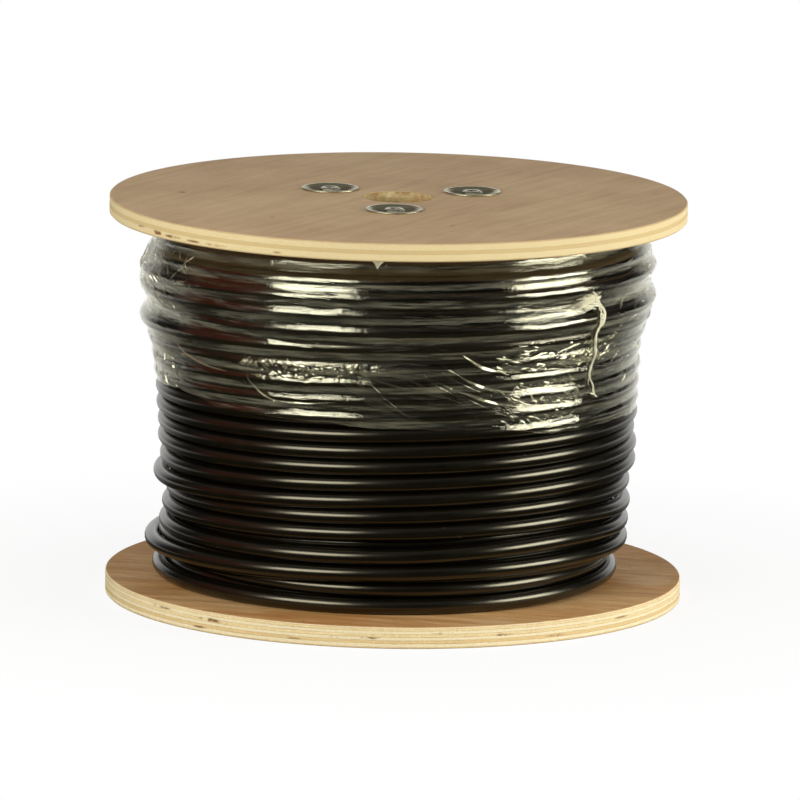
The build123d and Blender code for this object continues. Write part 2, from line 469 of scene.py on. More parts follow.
def rod_circle_tree():
    """Geometry nodes: one part set on each place of the rod circle, at the top and the bottom."""
    tree, given, out = shape_group("on_the_rod_circle", {
        "Part": "Object", "Count": "Int", "Circle Radius": "Float", "First Angle": "Float",
        "Top Height": "Float", "Bottom Height": "Float", "Both Ends": "Bool",
        "Loose Turn": "Float",
    })
    ring = add(tree, "GeometryNodeMeshCircle", {
        "Vertices": given["Count"], "Radius": given["Circle Radius"],
    })
    part = add(tree, "GeometryNodeObjectInfo", {"Object": given["Part"]})

    def end(height, flip, seed):
        place = add(tree, "GeometryNodeTransform", {
            "Geometry": ring.outputs[0], "Translation": combine(z=height),
            "Rotation": combine(z=given["First Angle"]),
        })
        # Random Value keeps one set of sockets for each kind, so the float ones are by place
        loose = add(tree, "FunctionNodeRandomValue", {
            "Min": 0.0, 3: given["Loose Turn"], "Seed": seed,
        }, data_type="FLOAT")
        return add(tree, "GeometryNodeInstanceOnPoints", {
            "Points": place.outputs[0], "Instance": part.outputs["Geometry"],
            "Rotation": combine(x=flip, z=loose.outputs[1]),
        }).outputs[0]

    top, bottom = end(given["Top Height"], 0.0, 3), end(given["Bottom Height"], pi, 8)
    switch = add(tree, "GeometryNodeSwitch", {"Switch": given["Both Ends"], "True": bottom},
                 input_type="GEOMETRY")
    both = add(tree, "GeometryNodeJoinGeometry", {0: top})
    tree.links.new(switch.outputs[0], both.inputs[0])
    return send_out(tree, given, out, both.outputs[0])


def plain_piece(name, carrier, tree, values):
    """The carrier's mesh as that tree makes it, as a plain mesh with no modifier left."""
    made = carrier.modifiers.new("build", "NODES")
    made.node_group = tree
    for socket in tree.interface.items_tree:
        if socket.in_out == "INPUT" and socket.name in values:
            made[socket.identifier] = values[socket.name]
    graph = bpy.context.evaluated_depsgraph_get()
    mesh = bpy.data.meshes.new_from_object(carrier.evaluated_get(graph), depsgraph=graph)
    bpy.data.objects.remove(carrier)
    mesh.name = name
    return placed(name, mesh)


ON_ROD_CIRCLE = rod_circle_tree()


def on_rod_circle(name, part, finish, top, bottom=None, loose=0.0):
    """A part set on every rod, at its top end or at both, as one piece."""
    result = plain_piece(name, piece(name + "_carrier", [], []), ON_ROD_CIRCLE, {
        "Part": part, "Finish": finish, "Count": 3, "Circle Radius": ROD_CIRCLE / 2,
        "First Angle": FIRST_ROD, "Top Height": top, "Bottom Height": bottom or 0.0,
        "Both Ends": bottom is not None, "Loose Turn": loose,
    })
    bpy.data.objects.remove(part)
    smooth(result)
    belong(result)
    return result


def zinc(name, colour, low, high, seed):
    """Bright zinc plate gone slightly yellow, with soft blotches and hairlines."""
    made, shader, where = blank_material(name)
    blotch = noise(where, 160.0, 3.0, seed=seed)
    hair = fibre(where, seed, 6, 0.12, seed)["Streak"]
    dress(
        shader, mix(spread(blotch, 0.35, 0.68), colour, shade(colour, 0.72)),
        spread(sums("ADD", blotch, hair), 0.7, 1.3, low, high), hair, 0.25, 0.05,
    )
    shader.inputs["Metallic"].default_value = 1.0
    return made


# Cup washer, 40 mm over a rolled lip, with a sloping dish down to a flat floor
WASHER_OUTLINE = [
    (r * MM, z * MM) for r, z in
    [(4.5, -7.7), (9.9, -7.7)] + arc(10.0, -6.7, 1.0, 280, 325, 3)
    + arc(17.0, -1.75, 1.0, 150, 100, 3)
    + [(19.3, -1.2)] + arc(19.4, -0.6, 0.6, -70, 90, 8)
    + [(18.7, -0.02)] + arc(18.1, -0.75, 0.75, 70, 145, 4)
    + arc(9.6, -6.0, 0.5, 325, 270, 3) + [(4.5, -6.5)]
]
washers = on_rod_circle(
    "cup_washers", turned("washer_pattern", WASHER_OUTLINE, 64),
    zinc("washer_zinc", (0.57, 0.53, 0.37, 1.0), 0.28, 0.5, 1.3), TOP_RIM, BOTTOM_RIM, 1.0,
)
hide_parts(*[f"cup_washer_{end}_{k}" for end in ("top", "bottom") for k in (1, 2, 3)])


def hexagon_nut(across_flats, height, bore, segments=96):
    """A nut with both faces chamfered round, its threads showing as rings inside the bore."""
    threads = [(bore + (0.35 * MM if k % 2 else 0.0), height * k / 10) for k in range(11)]
    top, countersink, points = across_flats / 2 * 0.88, bore + 0.7 * MM, []
    for step in range(segments):
        angle = 2 * pi * step / segments
        flat = across_flats / 2 / cos((angle + pi / 6) % (pi / 3) - pi / 6)
        drop = (flat - top) * 0.6
        outline = [
            (countersink, 0.0), (top, 0.0), (flat, drop + 0.06 * MM),
            (flat, height - drop - 0.06 * MM), (top, height), (countersink, height),
        ] + threads[::-1]
        points += spun(outline, angle)
    return piece("nut_pattern", points, ring_faces(segments, len(outline), closed=True, flip=True))


NUT_HEIGHT = 6.5 * MM
nut = hexagon_nut(13 * MM, NUT_HEIGHT, 3.6 * MM)
nut.data.transform(Matrix.Translation((0, 0, -NUT_HEIGHT)))
nut.data.transform(Matrix.Rotation(radians(8), 4, "Z"))
nuts = on_rod_circle(
    "hexagon_nuts", nut, zinc("nut_zinc", (0.54, 0.51, 0.39, 1.0), 0.30, 0.44, 5.1),
    TOP_RIM, BOTTOM_RIM, 0.25,
)
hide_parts(*[f"nut_{end}_{k}" for end in ("top", "bottom") for k in (1, 2, 3)])


def threaded_stud(length, radius, pitch, segments=12, steps_a_turn=4):
    """A stud threaded over its whole length: rings whose radius follows the thread round."""
    rows, points = int(length / pitch * steps_a_turn), []
    for row in range(rows + 1):
        chamfer = 0.5 * MM if row in (0, rows) else 0.0
        for step in range(segments):
            phase = (row / steps_a_turn - step / segments) % 1.0
            depth = 0.62 * pitch * (1 - abs(2 * phase - 1))
            reach = min(radius - depth, radius - chamfer)
            points += spun([(reach, length * row / rows)], 2 * pi * step / segments)
    return piece("stud_pattern", points, tube_faces(rows + 1, segments))


STUD_SINK = 1.0 * MM
studs = on_rod_circle(
    "tie_studs", threaded_stud(TOP_RIM - BOTTOM_RIM - 2 * STUD_SINK, 4 * MM, 1.25 * MM),
    zinc("stud_zinc", (0.55, 0.53, 0.46, 1.0), 0.25, 0.45, 9.4), BOTTOM_RIM + STUD_SINK,
)
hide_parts("tie_rod_1", "tie_rod_2", "tie_rod_3")


# Cable: 11 mm black sheathed cable wound on in layers. The outer layer climbs to the right from
# the bottom flange, slack in its lowest turns and pushed out in two swells under the film.

CABLE = 11 * MM
# Each turn, from the bottom: its height at the left, front, right-hand quarter, right and back,
# then its reach from the axis at the left, front, right and back, all in mm
TURNS = [
    (20.6, 20.6, 21.7, 22.7, 30.7, 167.7, 162.0, 155.5, 155.0),
    (31.7, 31.7, 32.2, 32.7, 36.7, 155.0, 159.5, 150.0, 163.0),
    (38.7, 43.9, 45.5, 43.7, 47.8, 173.1, 165.5, 162.5, 163.0),
    (51.3, 55.9, 59.9, 56.5, 59.9, 163.2, 166.5, 162.9, 162.0),
    (63.8, 71.4, 73.9, 69.3, 71.2, 161.3, 163.5, 164.0, 162.0),
    (74.8, 82.9, 85.4, 84.1, 84.1, 158.5, 163.0, 163.4, 162.0),
    (85.3, 94.4, 97.9, 98.9, 98.1, 167.5, 163.5, 167.2, 164.0),
    (97.6, 105.9, 109.1, 110.7, 110.2, 163.1, 164.0, 167.6, 164.0),
    (110.7, 117.4, 120.1, 121.6, 121.7, 164.7, 165.0, 166.0, 165.0),
    (122.2, 128.6, 131.3, 132.8, 133.1, 164.9, 165.3, 167.9, 166.0),
    (133.8, 140.0, 142.6, 144.2, 144.7, 166.0, 166.0, 168.1, 166.5),
    (145.6, 152.4, 154.4, 155.6, 156.4, 166.6, 167.0, 168.5, 167.0),
    (157.9, 164.2, 166.2, 167.5, 168.2, 167.6, 167.5, 168.8, 168.0),
    (170.0, 176.3, 178.3, 179.6, 180.3, 169.2, 168.8, 169.2, 169.5),
    (182.6, 188.7, 190.9, 192.1, 193.0, 172.0, 170.2, 172.0, 173.0),
    (195.4, 201.2, 202.7, 203.7, 204.7, 178.0, 173.5, 176.0, 177.0),
    (206.8, 212.8, 213.9, 214.5, 216.1, 172.5, 177.5, 179.0, 177.0),
    (218.5, 224.3, 224.9, 225.2, 227.2, 177.8, 177.0, 173.0, 177.0),
    (229.6, 235.7, 235.8, 235.8, 238.2, 177.5, 177.3, 178.5, 176.0),
    (240.6, 246.3, 246.7, 247.1, 249.7, 173.0, 175.0, 175.0, 173.0),
    (251.7, 257.3, 258.1, 258.7, 260.4, 168.0, 169.0, 170.0, 168.0),
    (260.4, 260.4, 260.4, 260.4, 260.4, 165.0, 165.0, 160.0, 150.0),
]
LAID_FROM, LAID_TO = -0.5, 21.2
LOWEST, HIGHEST = 20.55 * MM, 260.45 * MM


def through(places, values, at):
    """A smooth curve through the values, with no overshoot between them."""
    places, values, at = np.array(places), np.array(values), np.asarray(at)
    gap = np.diff(places)
    slope = np.diff(values) / gap
    lean = np.zeros(len(values))
    same = slope[:-1] * slope[1:] > 0
    weight_a, weight_b = 2 * gap[1:] + gap[:-1], gap[1:] + 2 * gap[:-1]
    with np.errstate(divide="ignore", invalid="ignore"):
        middle = (weight_a + weight_b) / (weight_a / slope[:-1] + weight_b / slope[1:])
    lean[1:-1] = np.where(same, np.nan_to_num(middle), 0.0)
    lean[0], lean[-1] = slope[0], slope[-1]
    k = np.clip(np.searchsorted(places, at) - 1, 0, len(gap) - 1)
    s = np.clip((at - places[k]) / gap[k], 0, 1)
    return (
        (2 * s**3 - 3 * s**2 + 1) * values[k] + (s**3 - 2 * s**2 + s) * gap[k] * lean[k]
        + (3 * s**2 - 2 * s**3) * values[k + 1] + (s**3 - s**2) * gap[k] * lean[k + 1]
    )


# The line starts down in the winding's core
height_places, heights, reach_places, reaches = [-0.5], [20.6], [-0.5], [134.0]
for number, row in enumerate(TURNS):
    height_places += [number - 0.25, number, number + 0.125, number + 0.25, number + 0.5]
    heights += row[:5]
    reach_places += [number - 0.25, number, number + 0.25, number + 0.5]
    reaches += row[5:]


def turn_height(at):
    return through(height_places, heights, at) * MM


def turn_reach(at):
    """Distance from the axis to the middle of the cable."""
    return through(reach_places, reaches, at) * MM - CABLE / 2


def round_drum(angle, reach, height):
    """Points round the drum: the angle is 0 in front and rises to the right."""
    return np.stack([reach * np.sin(angle), -reach * np.cos(angle), height], axis=-1)


def line_to_cable_tree():
    """Geometry nodes: a round cable of that diameter along a line of edges, its ends closed."""
    tree, given, out = shape_group("line_to_cable", {"Diameter": "Float", "Sides": "Int"})
    line = add(tree, "GeometryNodeMeshToCurve", {0: given["Geometry"]})
    around = add(tree, "GeometryNodeCurvePrimitiveCircle", {
        "Resolution": given["Sides"], "Radius": times(given["Diameter"], 0.5),
    }, mode="RADIUS")
    tube = add(tree, "GeometryNodeCurveToMesh", {
        "Curve": line.outputs[0], "Profile Curve": around.outputs[0], "Fill Caps": True,
    })
    return send_out(tree, given, out, tube.outputs[0])


sheath, shader, where = blank_material("cable_sheath")
scuff = noise(where, 38.0, 5.0, 0.6)
sheath_colour = layers(
    (0.0018, 0.0014, 0.0007, 1.0),
    (spread(scuff, 0.35, 0.7), (0.0034, 0.0027, 0.0014, 1.0)),
    (times(specks(where, 11, 0.03, 0.16), 0.5), (0.35, 0.33, 0.28, 1.0)),
)
dress(shader, sheath_colour, spread(scuff, 0.3, 0.7, 0.21, 0.26),
      noise(where, 900.0, 2.0), 0.06, 0.1)
shader.inputs["Specular IOR Level"].default_value = 0.75
shader.inputs["Specular Tint"].default_value = (1.0, 0.93, 0.72, 1.0)

LINE_TO_CABLE = line_to_cable_tree()


def laid_cable(name, at, reach, height, sides):
    """Cable laid round the drum, through those turns, reaches and heights."""
    line = round_drum(2 * np.pi * at, reach, np.clip(height, LOWEST, HIGHEST))
    carrier = piece(name + "_line", line, [], [(k, k + 1) for k in range(len(line) - 1)])
    return plain_piece(name, carrier, LINE_TO_CABLE, {
        "Diameter": CABLE, "Sides": sides, "Finish": sheath,
    })


outer_turns = np.linspace(LAID_FROM, LAID_TO, int((LAID_TO - LAID_FROM) * 120) + 1)
cable = laid_cable(
    "cable_winding", outer_turns, turn_reach(outer_turns), turn_height(outer_turns), 20
)
# The layer below lies in the grooves between the turns of the outer one
inner_turns = np.linspace(LAID_FROM, LAID_TO - 1, 20 * 60)
inner = laid_cable(
    "inner_layer", inner_turns,
    np.maximum(turn_reach(inner_turns), turn_reach(inner_turns + 1)) - 9.8 * MM,
    (turn_height(inner_turns) + turn_height(inner_turns + 1)) / 2, 12,
)
CORE_OUTLINE = ((80.4, 15.2), (141.0, 15.2), (141.0, 265.8), (80.4, 265.8))
core = turned("winding_core", [(r * MM, z * MM) for r, z in CORE_OUTLINE], 96)
core.data.materials.append(sheath)
for layer in (cable, inner, core):
    smooth(layer, 50)
    belong(layer)
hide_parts("cable")


# Film: several turns of clear stretch film pulled tight over the upper turns. It bridges the
# grooves, shows them as olive bands, and is creased all along the way that it was pulled. The
# olive bands are painted in as haze: partly doubled film, partly a painted reflection of the floor.

FILM_SLACK, FILM_THICK, FILM_TOP = 0.35 * MM, 0.12 * MM, 265.4 * MM
FILM_REACH_LIMIT = 0.199
# The torn lower edge: angle round the drum in degrees, height in mm
FILM_EDGE = [
    (-180, 143.0), (-150, 145.5), (-120, 147.0), (-100, 150.5), (-84, 151.5), (-72, 152.6),
    (-63, 154.4), (-57, 152.2), (-52, 152.4), (-46, 149.6), (-39, 148.8), (-34, 149.6),
    (-30, 148.4), (-22, 148.0), (-15, 147.6), (-12, 146.0), (-5.5, 144.9), (1.4, 145.6),
    (13, 144.6), (25, 143.0), (33, 140.2), (39, 138.3), (49, 137.0), (62, 137.6), (76, 136.4),
    (90, 137.5), (110, 139.5), (135, 140.5), (160, 141.5), (180, 143.0),
]


def lattice(rng, angle, height, across, tall, slope=0.0):
    """Smooth random values round the drum: `across` cells a turn, each `tall` high."""
    rows = int(0.32 / tall) + 3
    grid = rng.uniform(-1.0, 1.0, (rows, across))
    u = angle / (2 * np.pi) * across
    v = (height + slope * np.sin(angle * 0.5 + 1.1)) / tall
    i, j = np.floor(u).astype(int), np.floor(v).astype(int)
    s, t = u - i, v - j
    s, t = s * s * (3 - 2 * s), t * t * (3 - 2 * t)
    j = np.clip(j, 0, rows - 2)
    low = grid[j, i % across] * (1 - s) + grid[j, (i + 1) % across] * s
    high = grid[j + 1, i % across] * (1 - s) + grid[j + 1, (i + 1) % across] * s
    return low * (1 - t) + high * t


# The film's reach is worked out on a grid of angles and heights
SKIN_STEP, SKIN_FOOT, SKIN_COLUMNS = 0.5 * MM, 126 * MM, 720
SKIN_ANGLES = -np.pi + 2 * np.pi * np.arange(SKIN_COLUMNS) / SKIN_COLUMNS
SKIN_LEVELS = np.arange(SKIN_FOOT, 270 * MM, SKIN_STEP)


def rolled_skin():
    """The film's reach on the grid: over the bare crests, and bridged as tight film."""
    cover = CABLE / 2 + FILM_SLACK
    bare = np.full((SKIN_COLUMNS, len(SKIN_LEVELS)), 150 * MM)
    for number in range(8, 23):
        at = number + SKIN_ANGLES / (2 * np.pi)
        off = SKIN_LEVELS[None, :] - turn_height(at)[:, None]
        bulge = np.sqrt(np.clip(cover**2 - off**2, 0, None))
        on_turn = (np.abs(off) < cover) & (at <= LAID_TO)[:, None]
        bare = np.maximum(bare, np.where(on_turn, turn_reach(at)[:, None] + bulge, 0.0))
    # A round tool rolled up the crests can't get down into the grooves, and nor can the film
    tool, window = 8.5 * MM, int(8 * MM / SKIN_STEP)
    drops = [(k, (k * SKIN_STEP) ** 2 / (2 * tool)) for k in range(-window, window + 1)]
    raised = np.max([np.roll(bare, k, axis=1) - drop for k, drop in drops], axis=0)
    return bare, np.min([np.roll(raised, k, axis=1) + drop for k, drop in drops], axis=0)


def pulled_folds():
    """The film's folds in mm on the same grid, and where it hangs slack, from 0 to 1."""
    rng = np.random.default_rng(41)
    angle, height = np.meshgrid(SKIN_ANGLES, SKIN_LEVELS, indexing="ij")
    # Pulled folds: long and low, almost level, drifting a little up or down round the drum
    folds = lattice(rng, angle, height, 30, 3.4 * MM, 9 * MM) * 0.24
    folds += lattice(rng, angle, height, 64, 2.1 * MM, -7 * MM) * 0.15
    folds += 0.30 * (1 - np.abs(lattice(rng, angle, height, 40, 4.5 * MM, 14 * MM)))**6
    # Slack film crumples in small facets where the pull changed direction
    crumple = 1 - np.abs(lattice(rng, angle + height * 9, height, 210, 2.6 * MM))
    crumple += 1 - np.abs(lattice(rng, angle - height * 13, height, 150, 3.4 * MM))
    degrees, level = np.degrees(angle), height / MM

    def patch(turn, wide, middle, tall):
        return np.exp(-(((degrees - turn) / wide) ** 2)) * np.exp(-(((level - middle) / tall) ** 2))

    band = np.exp(-(((level - 184 - 0.05 * degrees) / 6.0) ** 2))
    band *= np.clip((degrees + 44) / 8, 0, 1) * np.clip((20 - degrees) / 18, 0, 1)
    tangle, crown, foot = patch(47, 16, 188, 9), patch(-86, 22, 232, 24), patch(-82, 13, 172, 20)
    behind = 0.4 * np.clip(lattice(rng, angle, height, 7, 40 * MM), 0, 1) * (np.abs(degrees) > 95)
    slack = np.clip(0.6 * band + 0.5 * tangle + 0.9 * crown + 0.6 * foot + behind, 0, 1)
    return folds + 0.42 * slack * crumple, slack


BARE_SKIN, BRIDGED_SKIN = rolled_skin()
FOLDS, SLACK = pulled_folds()
FILM_SKIN = BRIDGED_SKIN + FOLDS * MM


def reach_of(grid, angle, height):
    """The grid's values at those angles and heights."""
    u = (np.asarray(angle) + np.pi) / (2 * np.pi) * SKIN_COLUMNS
    v = np.clip((np.asarray(height) - SKIN_FOOT) / SKIN_STEP, 0, grid.shape[1] - 1.001)
    i, j = np.floor(u).astype(int), np.floor(v).astype(int)
    s, t = u - i, v - j
    i, n = i % SKIN_COLUMNS, (i + 1) % SKIN_COLUMNS
    low = grid[i, j] * (1 - s) + grid[n, j] * s
    high = grid[i, j + 1] * (1 - s) + grid[n, j + 1] * s
    return low * (1 - t) + high * t


def mark_points(made, label, values):
    """A value for each point of a mesh, which its material reads by that label."""
    held = made.data.attributes.new(label, "FLOAT", "POINT")
    held.data.foreach_set("value", np.asarray(values, dtype=np.float32))


def build_film():
    rng = np.random.default_rng(41)
    across, up = SKIN_COLUMNS, 126
    edge = np.interp(np.degrees(SKIN_ANGLES), *zip(*FILM_EDGE)) * MM
    level = np.zeros(across)
    ragged = lattice(rng, SKIN_ANGLES, level, 170, 20 * MM) * 0.5 * MM
    ragged += lattice(rng, SKIN_ANGLES, level, 44, 20 * MM) * 0.8 * MM
    edge = edge + ragged
    height = edge[None, :] + np.linspace(0, 1, up)[:, None] * (FILM_TOP - edge[None, :])
    angle = np.broadcast_to(SKIN_ANGLES[None, :], height.shape)
    reach = np.minimum(reach_of(FILM_SKIN, angle, height), FILM_REACH_LIMIT)
    outer = round_drum(angle, reach, height)
    # The inside face is plainer, and is joined to the outside along both edges
    every, inner_up = 6, 32
    inner_across = across // every
    inside = reach - FILM_THICK
    for k in range(-every, every + 1):
        inside = np.minimum(inside, np.roll(reach, k, axis=1) - FILM_THICK)
    floor = inside
    for k in range(-4, 5):
        inside = np.minimum(inside, floor[np.clip(np.arange(up) + k, 0, up - 1)])
    rows = np.linspace(0, up - 1, inner_up).round().astype(int)
    pick = np.ix_(rows, np.arange(0, across, every))
    inner = round_drum(angle[pick], inside[pick], height[pick])
    base = up * across
    faces = ring_faces(up, across)
    faces += [face[3:] + face[:3] for face in ring_faces(inner_up, inner_across, base, flip=True)]
    for row, inner_row, upper in ((0, 0, False), (up - 1, inner_up - 1, True)):
        for j in range(inner_across):
            a = base + inner_row * inner_across + j
            b = base + inner_row * inner_across + (j + 1) % inner_across
            rim = [row * across + (j * every + k) % across for k in range(every + 1)]
            faces.append(tuple([a] + rim + [b])[:: 1 if upper else -1])
    points = np.concatenate([outer.reshape(-1, 3), inner.reshape(-1, 3)])
    film = piece("stretch_film", points, faces)
    # What shows is the underside of the turn above each groove, where the film stands off. This
    # mask paints olive haze there: partly doubled film, partly a painted reflection of the floor
    under = height - 2.2 * MM
    groove_haze_and_reflection = reach_of(BRIDGED_SKIN, angle, under) - reach_of(BARE_SKIN, angle, under)
    groove_haze_and_reflection = groove_haze_and_reflection * np.clip((262 * MM - height) / (5 * MM), 0, 1)
    pads = np.zeros(inner_across * inner_up)
    mark_points(film, "groove_haze_and_reflection", np.append(np.clip(groove_haze_and_reflection / (2.0 * MM), 0, 1), pads))
    mark_points(film, "slack", np.append(reach_of(SLACK, angle, height), pads))
    film.data.shade_smooth()
    return film


def film_material():
    """Clear film: hard bright reflections, milky where slack or doubled in a groove, with the
    floor's reflection painted there.
    """
    made, shader, where = blank_material("stretch_film")
    tree = shader.id_data
    groove_haze_and_reflection, slack, folded = (
        add(tree, "ShaderNodeAttribute", attribute_name=label).outputs["Fac"]
        for label in ("groove_haze_and_reflection", "slack", "folded")
    )
    x, y, z = split(where)

    def pulled(tall, seed, detail=4.0, long=14.0):
        """Streaks that run round the drum."""
        flat = combine(times(x, long), times(y, long), sums("DIVIDE", z, tall))
        return noise(flat, 1.0, detail, 0.6, 0.25, seed)

    coarse, thin = pulled(5.5 * MM, 1.0), pulled(1.1 * MM, 5.0, 3.0, 55.0)
    brushed = pulled(2.4 * MM, 9.0, 2.0, 150.0)
    crumple = add(tree, "ShaderNodeTexVoronoi", {
        "Vector": where, "Scale": 420.0, "Detail": 2.0, "Roughness": 0.6,
    }).outputs["Distance"]
    # Milk is how much of the film scatters light, a painted reflection of the floor along the
    # grooves included, and gloss how much of it mirrors
    ripple = times(coarse, spread(thin, 0.3, 0.7, 0.6, 1.2))
    # Along the grooves: the haze of doubled film, and a painted reflection of the floor
    haze_and_painted_reflection = times(spread(groove_haze_and_reflection, 0.05, 0.55, smooth=True), spread(ripple, 0.36, 0.62, 0.01, 0.19))
    haze_and_painted_reflection = sums("ADD", haze_and_painted_reflection, spread(ripple, 0.54, 0.74, 0.0, 0.06))
    haze_and_painted_reflection = times(sums("POWER", slack, 3.0), spread(ripple, 0.35, 0.62, 0.0, 0.5), haze_and_painted_reflection)
    haze_and_painted_reflection = sums("MAXIMUM", haze_and_painted_reflection, times(specks(where, 7.5, 0.05, 0.10), 0.5))
    haze_and_painted_reflection = times(folded, 0.06, haze_and_painted_reflection)
    edge_on = add(tree, "ShaderNodeLayerWeight", {"Blend": 0.5}).outputs["Facing"]
    gloss = times(sums("POWER", edge_on, 5.0), 0.75, 0.10)
    gloss = times(folded, 0.30, gloss)
    veil = sums("ADD", haze_and_painted_reflection, gloss, clamp=True)
    mirror = sums("DIVIDE", gloss, veil, clamp=True)
    tree.links.new(mirror, shader.inputs["Metallic"])
    tree.links.new(veil, shader.inputs["Alpha"])
    relief = times(thin, 0.8, coarse)
    relief = times(brushed, 0.45, relief)
    relief = times(times(slack, crumple), 1.6, relief)
    # The olive colour is that haze, the painted floor reflection included
    dress(
        shader, mix(mirror, (0.31, 0.29, 0.15, 1.0), (1.0, 0.99, 0.80, 1.0)),
        times(folded, 0.06, spread(thin, 0.3, 0.7, 0.02, 0.07)),
        relief, 0.55, 0.5,
    )
    return made


film, clear_film = build_film(), film_material()
film.data.materials.append(clear_film)
belong(film)
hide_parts("film_wrap")


# Film creases: sharp folds pinched up where the film was drawn across its own layers: long
# curved ones, fans of fine lines, combs of short strokes and crumpled bands.

def on_film(route, lift=0.0):
    """The route's (degrees, mm) points on the film, lifted by some mm, and the way out there."""
    angle = np.radians([p[0] for p in route])
    height = np.array([p[1] for p in route]) * MM
    rise = (reach_of(FILM_SKIN, angle, height + 0.6 * MM)
            - reach_of(FILM_SKIN, angle, height - 0.6 * MM)) / (1.2 * MM)
    out = round_drum(angle, np.ones(len(angle)), -rise)
    out /= np.linalg.norm(out, axis=1)[:, None]
    reach = np.minimum(reach_of(FILM_SKIN, angle, height), FILM_REACH_LIMIT)
    return round_drum(angle, reach, height) + lift * MM * out, out


def finer(route, count):
    places, at = np.linspace(0, 1, len(route)), np.linspace(0, 1, count)
    degrees, levels = (through(places, values, at) for values in zip(*route))
    return [(float(a), float(b)) for a, b in zip(degrees, levels)]


def fold(route, width, lift):
    """A closed ridge along the route, tapering to nothing at both ends; width and lift in mm."""
    middle, out = on_film(route)
    along = np.gradient(middle, axis=0)
    along /= np.linalg.norm(along, axis=1)[:, None]
    side = np.cross(along, out)
    side /= np.linalg.norm(side, axis=1)[:, None]
    taper = np.clip(np.sin(np.pi * np.linspace(0, 1, len(route))), 0.02, 1) ** 0.6
    section = ((-1, -0.5), (1, -0.5), (0.4, 0.62), (0, 1), (-0.4, 0.62))
    points = []
    for k in range(len(route)):
        for a, b in section:
            rise = b * lift * taper[k] if b > 0 else -0.12
            points.append(middle[k] + (a * width * taper[k] * side[k] + rise * out[k]) * MM)
    return points, tube_faces(len(route), len(section))


def gather(points, faces, made, joined):
    """Adds a mesh's points and faces to those of a larger one."""
    first = len(points)
    points.extend(made)
    faces.extend(tuple(first + i for i in face) for face in joined)


# Long folds, each a route of (degrees, mm), its half width and its height
LONG_FOLDS = [
    ([(-37, 177), (-36, 171), (-34, 166), (-31.5, 162), (-28, 160), (-21, 160.5), (-14, 162.5)],
     0.7, 0.8),
    ([(15.5, 196.5), (18, 191.5), (20.5, 187), (24.5, 184), (31, 182)], 1.1, 1.0),
    ([(15.5, 180.5), (18.5, 176), (21.5, 172.5), (26, 169.5), (32, 168)], 1.1, 1.0),
    ([(14.5, 171), (17.5, 168.5), (20.5, 165), (25, 161), (31, 158)], 1.2, 1.0),
    ([(38, 198), (43, 192), (50, 190.5), (57, 195.5)], 0.7, 0.8),
    ([(40, 188), (46, 184), (52, 185), (60, 191)], 0.6, 0.7),
    ([(46, 192), (49, 187), (54, 186), (60, 188.5)], 0.5, 0.6),
    ([(-62, 190), (-57, 182), (-50, 177), (-43, 176)], 0.8, 0.7),
    ([(-66, 176), (-64, 168), (-63.5, 160)], 0.5, 0.8),
]


def build_creases():
    rng = np.random.default_rng(5)
    points, faces, shine = [], [], []

    def lay(route, width, lift, bright=1.0):
        made, joined = fold(route, width, lift)
        gather(points, faces, made, joined)
        shine.extend([bright] * len(made))

    def strokes(count, across, up, length, slant, width, lift):
        """Short folds spread over an area, each of its own length, slant, width and height."""
        for k in range(count):
            bright = rng.uniform(0.4, 1.0)
            long, lean = rng.uniform(*length), radians(rng.uniform(*slant))
            bend = rng.uniform(-0.35, 0.35) * long
            middle = (rng.uniform(*across), rng.uniform(*up))
            route = []
            for s in np.linspace(-0.5, 0.5, 8):
                run, drift = s * long, bend * (s * s - 0.12)
                route.append((
                    middle[0] + (run * cos(lean) - drift * sin(lean)) / 170 * (180 / pi),
                    middle[1] + run * sin(lean) + drift * cos(lean),
                ))
            lay(route, rng.uniform(*width), rng.uniform(*lift), bright)

    for route, width, lift in LONG_FOLDS:
        lay(finer(route, 22), width, lift)
    # Crumpled bands on the left, combs and a tangle on the right
    strokes(110, (-38, -3), (183, 188.5), (2, 7), (-60, 60), (0.6, 1.3), (0.15, 0.5))
    strokes(60, (-34, -6), (175.5, 181), (2, 7), (-45, 15), (0.5, 1.1), (0.15, 0.45))
    strokes(80, (24, 58), (183, 201), (4, 14), (-30, 30), (0.5, 1.1), (0.15, 0.5))
    strokes(30, (26, 48), (168, 176), (4, 8), (-50, -15), (0.5, 1.0), (0.2, 0.5))
    strokes(30, (26, 48), (157, 165), (4, 8), (-50, -15), (0.5, 1.0), (0.2, 0.5))
    strokes(20, (26, 48), (145, 154), (4, 8), (-45, -10), (0.5, 1.0), (0.2, 0.4))
    # Loose hairs of film about the tangle
    strokes(26, (36, 64), (182, 204), (6, 12), (-60, 40), (0.22, 0.3), (0.4, 0.7))
    # Fans of fine lines between them
    for k in range(16):
        start = (rng.uniform(-14, 12), rng.uniform(176, 194))
        run, drop = rng.uniform(9, 17), rng.uniform(12, 30)
        drop = min(drop, start[1] - 151)
        route = [(start[0] + run * s, start[1] - drop * (s ** 0.8)) for s in np.linspace(0, 1, 14)]
        lay(route, rng.uniform(0.25, 0.4), rng.uniform(0.15, 0.3), 0.25)
    # The slack crumple at the left, and looser folds round the far side
    strokes(80, (-92, -56), (210, 256), (5, 16), (-60, 60), (0.4, 0.9), (0.3, 0.8))
    strokes(30, (-84, -64), (153, 190), (4, 12), (-80, 40), (0.4, 0.8), (0.3, 0.7))
    strokes(50, (58, 92), (155, 250), (4, 14), (-30, 40), (0.4, 0.8), (0.3, 0.6))
    strokes(140, (95, 265), (150, 258), (6, 22), (-35, 35), (0.5, 0.9), (0.3, 0.7))
    creases = piece("film_creases", points, faces)
    mark_points(creases, "folded", shine)
    return smooth(creases, 70)


creases = build_creases()
creases.data.materials.append(clear_film)
belong(creases)


